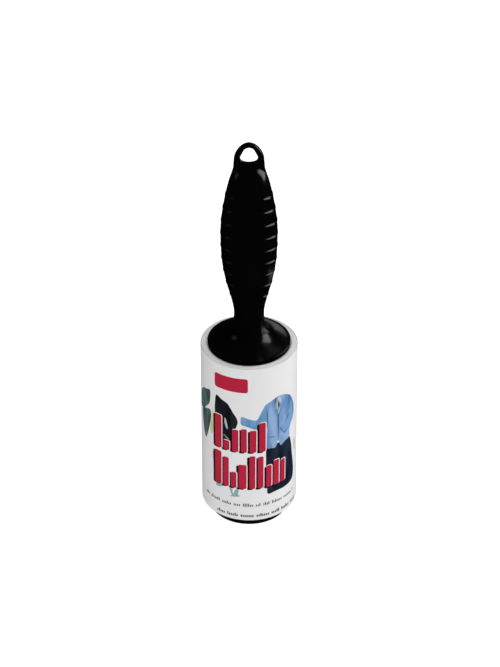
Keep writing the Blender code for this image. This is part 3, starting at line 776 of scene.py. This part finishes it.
def green_garment():
    """Sleeve and skirt tail of a green coat at the left edge, with a lime scarf."""
    green = cloth_ink("ink_dark_green", (0.035, 0.075, 0.075), (0.12, 0.19, 0.18))
    lime = cloth_ink("ink_lime", (0.5, 0.56, 0.24), (0.74, 0.78, 0.45))
    grey = coated_paper("ink_soft_grey", (0.4, 0.44, 0.44), specular=0.25)
    upper = [(-31.3, 78.7), (-28.0, 79.8), (-24.6, 81.0), (-24.2, 77.0), (-25.2, 72.0), (-28.0, 68.5),
             (-32.0, 65.0), (-36.6, 64.0), (-36.8, 70.0), (-34.5, 75.5)]
    lower = [(-33.6, 64.5), (-28.6, 66.6), (-24.4, 68.0), (-23.8, 63.0), (-25.8, 54.5), (-28.6, 47.2),
             (-30.8, 49.0), (-32.8, 55.5)]
    scarf = [(-22.2, 72.0), (-21.4, 67.0), (-20.4, 63.0), (-20.4, 57.5), (-22.0, 54.8), (-23.5, 52.4),
             (-24.6, 56.0), (-23.4, 63.0), (-22.8, 68.0)]
    shadow = [(-22.6, 40.5), (-20.7, 40.5), (-20.7, 32.4), (-21.7, 33.2)]
    print_ink("print_green_sleeve", [closed_curve(upper)], 0, green)
    print_ink("print_green_tail", [closed_curve(lower)], 1, green)
    print_ink("print_lime_scarf", [closed_curve(scarf)], 2, lime)
    print_ink("print_soft_shadow", [closed_curve(shadow)], 0, grey)


def dark_suit():
    """Dark suit behind the first row of bars, with a pale lapel and a pale cuff edge."""
    suit = cloth_ink("ink_charcoal", (0.003, 0.004, 0.008), (0.014, 0.018, 0.03))
    pale = coated_paper("ink_pale_green", (0.42, 0.5, 0.48), specular=0.25)
    jacket = [(-19.4, 80.6), (-15.8, 79.2), (-12.1, 77.6), (-10.2, 74.8), (-8.5, 71.9), (-6.9, 69.3),
              (-6.2, 66.4), (-7.4, 62.0), (-9.3, 56.6), (-11.0, 52.6), (-14.3, 50.0), (-18.0, 52.0),
              (-20.2, 60.0), (-20.5, 68.0), (-20.4, 74.5)]
    lapel = [(-13.6, 67.8), (-12.6, 65.4), (-11.9, 61.0), (-12.9, 61.2), (-14.0, 65.2)]
    edge = [(-14.4, 56.6), (-11.3, 54.2), (-11.4, 53.7), (-14.6, 56.1)]
    print_ink("print_dark_suit", [closed_curve(jacket)], 0, suit)
    print_ink("print_suit_lapel", [closed_curve(lapel), edge], 1, pale)


def blue_jacket():
    """Light blue jacket with one sleeve out to the left and the other bent to its pocket."""
    blue = cloth_ink("ink_sky_blue", (0.06, 0.19, 0.4), (0.17, 0.36, 0.62))
    light = cloth_ink("ink_pale_blue", (0.12, 0.25, 0.48), (0.27, 0.42, 0.68))
    deep = cloth_ink("ink_deep_blue", (0.012, 0.03, 0.08), (0.07, 0.15, 0.32))
    shirt = cloth_ink("ink_shirt", (0.02, 0.035, 0.08), (0.5, 0.58, 0.68), 700)
    body = [(14.2, 80.0), (17.0, 80.8), (21.0, 80.0), (25.2, 77.6), (28.0, 74.0), (29.4, 69.0), (29.0, 62.5),
            (27.4, 58.0), (26.2, 54.5), (25.6, 49.4), (22.5, 48.6), (19.0, 47.0), (17.9, 49.0), (16.9, 51.8),
            (16.2, 49.4), (15.0, 47.2), (12.5, 47.6), (10.0, 48.4), (9.6, 54.5), (9.8, 61.0), (9.0, 67.0),
            (8.6, 72.5), (9.4, 77.4), (12.0, 78.9)]
    left_arm = [(9.6, 77.8), (7.6, 74.9), (5.9, 71.2), (4.2, 68.2), (0.6, 68.8), (-3.8, 70.4), (-4.6, 68.4),
                (-4.2, 65.2), (-0.6, 63.8), (3.1, 62.1), (6.2, 62.6), (8.8, 64.8), (10.6, 69.0), (11.0, 74.0)]
    right_arm = [(24.6, 77.8), (27.6, 74.8), (29.8, 70.0), (30.7, 64.2), (29.4, 59.6), (27.2, 57.4),
                 (23.8, 55.4), (21.2, 54.4), (18.6, 58.6), (21.6, 61.6), (24.6, 64.8), (24.2, 71.0)]
    lapels = [[(14.4, 79.6), (12.6, 76.6), (13.6, 72.0), (16.5, 67.0), (15.3, 72.0), (14.8, 76.0)],
              [(19.2, 79.4), (21.2, 76.4), (19.8, 72.0), (16.9, 67.0), (18.6, 72.6), (19.2, 76.0)]]
    opening = [(14.9, 80.0), (19.0, 79.2), (18.4, 74.4), (16.7, 69.0), (15.3, 74.4)]
    lines = [[(16.5, 69.0), (16.9, 69.0), (17.2, 60.0), (17.1, 51.6), (16.7, 51.6), (16.7, 60.0)],
             [(27.4, 57.7), (24.0, 55.2), (21.3, 54.0), (18.2, 58.6), (18.6, 58.9), (21.4, 54.8),
              (23.8, 55.9)],
             [(24.8, 65.0), (21.6, 61.4), (21.9, 61.1), (25.1, 64.7)],
             [(10.2, 72.0), (10.6, 66.0), (9.9, 61.6), (9.4, 61.8), (10.0, 66.0), (9.8, 72.0)],
             [(11.2, 55.6), (14.6, 54.8), (14.6, 54.4), (11.2, 55.2)]]
    print_ink("print_blue_jacket", [closed_curve(body)], 1, light)
    print_ink("print_jacket_arms", [closed_curve(left_arm), closed_curve(right_arm)], 2, blue)
    print_ink("print_jacket_lapels", [closed_curve(lapel) for lapel in lapels], 3, blue)
    print_ink("print_shirt", [closed_curve(opening)], 4, shirt)
    print_ink("print_jacket_lines", [closed_curve(line, 3) for line in lines], 5, deep)


def navy_skirt():
    navy = cloth_ink("ink_navy", (0.003, 0.008, 0.022), (0.014, 0.026, 0.05))
    skirt = [(9.8, 49.4), (13.5, 49.4), (18.0, 49.6), (22.0, 49.8), (26.0, 49.2), (28.0, 43.0), (29.2, 35.0),
             (30.8, 26.0), (30.4, 20.0), (28.0, 17.6), (22.0, 17.0), (16.0, 17.2), (10.9, 16.8), (10.1, 20.5),
             (9.6, 30.0), (9.4, 40.0)]
    print_ink("print_navy_skirt", [closed_curve(skirt)], 0, navy)


def small_shapes():
    """Teal shoe-like shapes under the bars and a brown sliver at the right."""
    teal = coated_paper("ink_teal", (0.26, 0.44, 0.4), specular=0.25)
    brown = coated_paper("ink_brown", (0.34, 0.2, 0.12), specular=0.25)
    marks = [[(-11.1, 20.4), (-9.6, 20.6), (-8.9, 17.4), (-7.6, 20.6), (-5.8, 21.0), (-6.2, 17.6),
              (-5.2, 16.4), (-7.8, 15.6), (-10.9, 15.4), (-9.8, 16.6)],
             [(-19.6, 21.0), (-17.0, 21.8), (-15.1, 22.0), (-15.0, 20.8), (-17.6, 19.4), (-19.8, 19.2)]]
    print_ink("print_teal_marks", [closed_curve(mark, 4) for mark in marks], 0, teal)
    sliver = [(32.0, 44.6), (32.6, 42.0), (32.6, 38.0), (32.2, 35.6), (31.7, 38.0), (31.6, 42.0)]
    print_ink("print_brown_sliver", [closed_curve(sliver)], 0, brown)


def title_bars():
    """Two rows of plain upright bars with a shadow and a light edge."""
    red = coated_paper("ink_red", (0.52, 0.003, 0.04), specular=0.2)
    shadow = coated_paper("ink_black", (0.006, 0.006, 0.008), specular=0.25)
    light = coated_paper("ink_white", (0.85, 0.82, 0.84), specular=0.25)
    rows = [(46.6, [(-20.4, 4.6, 68.4), (-14.6, 3.6, 53.0), (-9.4, 3.6, 61.4), (-4.4, 3.2, 62.4),
                    (0.4, 3.6, 61.4), (5.6, 3.6, 66.0)]),
            (21.8, [(-20.6, 4.6, 44.2), (-14.8, 3.4, 41.6), (-10.2, 3.2, 32.6), (-5.8, 4.4, 38.2),
                    (0.2, 3.2, 44.2), (4.8, 3.2, 43.4), (9.6, 3.2, 36.4), (14.0, 3.6, 38.6),
                    (18.8, 3.2, 37.2)])]
    bars, shades, edges = [], [], []
    for low, uprights in rows:
        for left, width, high in uprights:
            right = left + width
            bars.append(rounded_box(left, low, right, high, BAR_CORNER))
            shades.append(rounded_box(left - 1.3, low - 0.7, right - 1.3, high - 0.8, BAR_CORNER))
            edges.append(rounded_box(left + 0.1, low + 0.1, right + 0.5, high + 0.45, BAR_EDGE_CORNER))
    print_ink("print_title_shadow", shades, 6, shadow)
    print_ink("print_title_edge", edges, 7, light)
    print_ink("print_title_bars", bars, 8, red)
    return red


def logo_block(red):
    """A plain rounded block near the sleeve's upper edge."""
    print_ink("print_red_block", [rounded_box(-20.4, 86.2, -0.6, 95.4, 1.4)], 0, red)


def text_lines():
    """Two lines of plain ticks in groups near the sleeve's lower edge."""
    grey = coated_paper("ink_grey", (0.05, 0.055, 0.065), specular=0.25)
    black = bpy.data.materials["ink_black"]
    dice = random.Random(3)
    for name, material, left, right, low, wide in (("print_small_line_upper", grey, -29.2, 30.0, 9.4, 0.6),
                                                   ("print_small_line_lower", black, -19.2, 32.0, 2.2, 0.7)):
        ticks = []
        at = left
        while at < right:
            for _ in range(dice.randint(3, 7)):
                tall = dice.choice((1.4, 1.4, 1.5, 2.2))
                if at < right:
                    ticks.append(rounded_box(at, low, at + wide, low + tall, 0.15, 2))
                at += wide + TICK_GAP
            at += WORD_GAP
        print_ink(name, ticks, 0, material)


def build_roll():
    build_core_tube(core_board())
    build_adhesive_roll(wound_edge())
    build_sleeve(coated_paper("coated_paper_white", (0.85, 0.845, 0.855)))
    green_garment()
    dark_suit()
    navy_skirt()
    blue_jacket()
    small_shapes()
    red = title_bars()
    logo_block(red)
    text_lines()


# Studio

FLOOR_SIZE = 6.0
FLOOR_GLOW = 0.93
WORLD_STRENGTH = 0.15
CAMERA_PLACE = (0.0005, -1.1613, 0.90545)
CAMERA_TARGET = (0.0005, 0.0, 0.11365)
CAMERA_LENS = 140.98
LIGHT_TARGET = (0.0, 0.0, 0.1505)


def paint_cad_nodes(hub_material):
    """Materials for the CAD nodes that stay visible."""
    for node, material in (("hub_sleeve", hub_material), ("spindle", natural_plastic()),
                           ("spindle_clip", spring_steel())):
        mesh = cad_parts[node].data
        mesh.materials.clear()
        mesh.materials.append(material)


def build_floor():
    shader = Shader("studio_floor", (0.4, 0.4, 0.4), 0.9, specular=0.1)
    shader.drive("Base Color", shader.blend(shader.noise(3, 2.0), (0.39, 0.39, 0.39), (0.41, 0.41, 0.41)))
    shader.principled.inputs["Emission Color"].default_value = (1.0, 1.0, 1.0, 1.0)
    shader.principled.inputs["Emission Strength"].default_value = FLOOR_GLOW
    bm = bmesh.new()
    bmesh.ops.create_grid(bm, x_segments=8, y_segments=8, size=FLOOR_SIZE / 2)
    mesh = mesh_from_bmesh("floor", bm)
    floor = bpy.data.objects.new("floor", mesh)
    bpy.context.collection.objects.link(floor)
    mesh.materials.append(shader.material)
    floor.visible_glossy = False


def hide_from_reflections(*names):
    """Keep pale pieces out of the black plastic's reflections."""
    for name in names:
        bpy.data.objects[name].visible_glossy = False


def aim(obj, place, target):
    """Place an object and turn its -Z axis to a target, with its top up."""
    obj.location = place
    direction = Vector(target) - Vector(place)
    obj.rotation_euler = direction.to_track_quat("-Z", "Y").to_euler()


def add_soft_light(name, turn, rise, distance, size, radiance, mirrored=True, target=LIGHT_TARGET):
    """Area light that faces the roller from a turn round it, in degrees to the right of the front."""
    light = bpy.data.lights.new(name, "AREA")
    light.shape = "RECTANGLE"
    light.size, light.size_y = size
    light.energy = radiance * math.pi * size[0] * size[1]
    obj = bpy.data.objects.new(name, light)
    bpy.context.collection.objects.link(obj)
    turn, rise = math.radians(turn), math.radians(rise)
    away = Vector((math.sin(turn) * math.cos(rise), -math.cos(turn) * math.cos(rise), math.sin(rise)))
    aim(obj, Vector(target) + distance * away, target)
    obj.visible_camera = False
    obj.visible_glossy = mirrored
    return obj


def build_world():
    world = bpy.data.worlds.new("studio")
    world.use_nodes = True
    background = world.node_tree.nodes["Background"]
    background.inputs["Color"].default_value = (1, 1, 1, 1)
    background.inputs["Strength"].default_value = WORLD_STRENGTH
    world.cycles_visibility.glossy = False
    bpy.context.scene.world = world


def build_camera():
    camera = bpy.data.cameras.new("camera")
    camera.lens = CAMERA_LENS
    camera.sensor_width = 36
    camera.clip_start = 0.01
    camera.clip_end = 20
    obj = bpy.data.objects.new("camera", camera)
    bpy.context.collection.objects.link(obj)
    aim(obj, CAMERA_PLACE, CAMERA_TARGET)
    bpy.context.scene.camera = obj


def build_studio():
    scene = bpy.context.scene
    scene.view_settings.view_transform = "Standard"
    scene.view_settings.look = "None"
    build_world()
    build_floor()
    build_camera()
    add_soft_light("overhead_fill", 0, 89.9, 2.0, (2.5, 2.5), 1.9, mirrored=False)
    add_soft_light("front_fill", 25, 22, 2.0, (2.2, 1.6), 0.75, mirrored=False)
    add_soft_light("key_light", 106, 23, 1.0, (0.62, 0.8), 2.5)
    add_soft_light("left_light", -92, 20, 1.0, (0.42, 0.36), 0.3)
    add_soft_light("backdrop_light", 171, 15, 1.0, (0.3, 0.36), 0.75)
    add_soft_light("backdrop_upper_glow", 130, 52, 1.0, (1.0, 0.2), 0.18)
    glow = add_soft_light("flange_glow", 110, 42, 0.094, (0.06, 0.036), 0.8, target=(0.0, 0.0, 0.0375))
    glow.visible_diffuse = False
    hide_from_reflections("paper_sleeve", "adhesive_sheets", "cardboard_core")


def main():
    handle_plastic = glossy_black("handle_gloss_black", (0.0012, 0.0012, 0.0014), 0.19, 0.5)
    hub_plastic = glossy_black("hub_satin_black", (0.0015, 0.0015, 0.0017), 0.3, 0.5)
    build_handle(handle_plastic)
    build_end_cap(hub_plastic)
    build_roll()
    paint_cad_nodes(hub_plastic)
    build_studio()


main()
